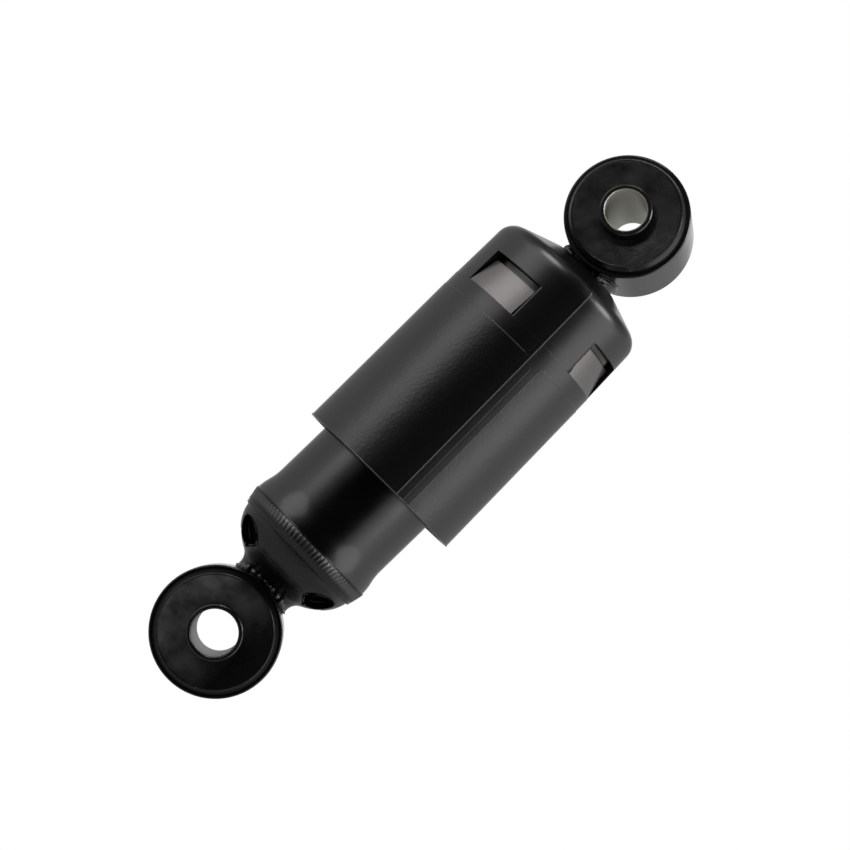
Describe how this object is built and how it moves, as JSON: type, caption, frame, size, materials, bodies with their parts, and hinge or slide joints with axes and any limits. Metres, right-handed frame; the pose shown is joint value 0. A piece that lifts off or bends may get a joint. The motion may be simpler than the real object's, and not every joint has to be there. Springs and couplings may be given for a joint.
{
  "type": "cab shock absorber",
  "caption": "Twin-tube hydraulic cab shock absorber with a rubber-bushed eye at each end and a windowed plastic dust cover over the piston rod.",
  "frame": {"origin": "centre of the lower eye's bore, midway along its sleeve", "axes": "+Z along the shock axis towards the rod end, +Y along the lower eye's bore, the pictured side facing -Y"},
  "size_m": [0.0819, 0.0808, 0.3031],
  "materials": {
    "black_paint": "satin black paint over steel",
    "black_rubber": "smooth moulded rubber",
    "seal_rubber": "smooth oil seal rubber",
    "sleeve_steel": "phosphated steel",
    "cover_plastic": "satin moulded plastic with grained panels",
    "rod_chrome": "ground and hard chromed",
    "bare_steel": "bare machined steel",
    "sintered_iron": "sintered iron",
    "band_plastic": "bronze-filled low-friction plastic"
  },
  "bodies": {
    "lower_sleeve": {"lower_bush_sleeve": "sleeve_steel"},
    "damper_tube": {"lower_eye_ring": "black_paint", "lower_bush_rubber": "black_rubber", "lower_weld": "black_paint", "foot": "black_paint", "reservoir_tube": "black_paint", "pressure_tube": "bare_steel", "base_valve_body": "sintered_iron", "base_valve_discs": "bare_steel", "base_valve_pin": "bare_steel", "base_check_spring": "bare_steel", "rod_guide": "sintered_iron", "guide_bush": "bare_steel", "rod_seal": "seal_rubber", "seal_washer": "bare_steel"},
    "base_check": {"base_check_plate": "bare_steel"},
    "piston_ring": {"piston_band": "band_plastic"},
    "rod_group": {"piston_rod": "rod_chrome", "piston": "sintered_iron", "piston_discs": "bare_steel", "piston_nut": "bare_steel", "check_stop_washer": "bare_steel", "piston_check_spring": "bare_steel", "rebound_stop": "bare_steel", "bump_stop": "black_rubber", "head_plate": "black_paint", "upper_weld": "black_paint", "upper_eye_ring": "black_paint", "upper_bush_rubber": "black_rubber", "dust_cover": "cover_plastic"},
    "piston_check": {"piston_check_plate": "bare_steel"},
    "upper_sleeve": {"upper_bush_sleeve": "sleeve_steel"}
  },
  "joints": [
    {"name": "lower_bush_twist", "type": "hinge", "parent": "lower_sleeve", "child": "damper_tube", "pos_m": [0, 0, 0], "axis": [0, 1, 0], "range_deg": [-15, 15], "stiffness_Nm_per_rad": 60},
    {"name": "rod_slide", "type": "slide", "parent": "damper_tube", "child": "piston_ring", "axis": [0, 0, 1], "range_m": [-0.026, 0.022]},
    {"name": "rod_swivel", "type": "hinge", "parent": "piston_ring", "child": "rod_group", "pos_m": [0, 0, 0.2], "axis": [0, 0, 1], "continuous": true},
    {"name": "upper_bush_twist", "type": "hinge", "parent": "rod_group", "child": "upper_sleeve", "pos_m": [-0.0019, 0, 0.24775], "axis": [0.2215, 0.9751, 0], "range_deg": [-15, 15], "stiffness_Nm_per_rad": 60},
    {"name": "base_check_lift", "type": "slide", "parent": "damper_tube", "child": "base_check", "axis": [0, 0, 1], "range_m": [0, 0.0008], "stiffness_N_per_m": 400, "deforming": ["base_check_spring"]},
    {"name": "piston_check_lift", "type": "slide", "parent": "rod_group", "child": "piston_check", "axis": [0, 0, 1], "range_m": [0, 0.0008], "stiffness_N_per_m": 400, "deforming": ["piston_check_spring"]}
  ]
}
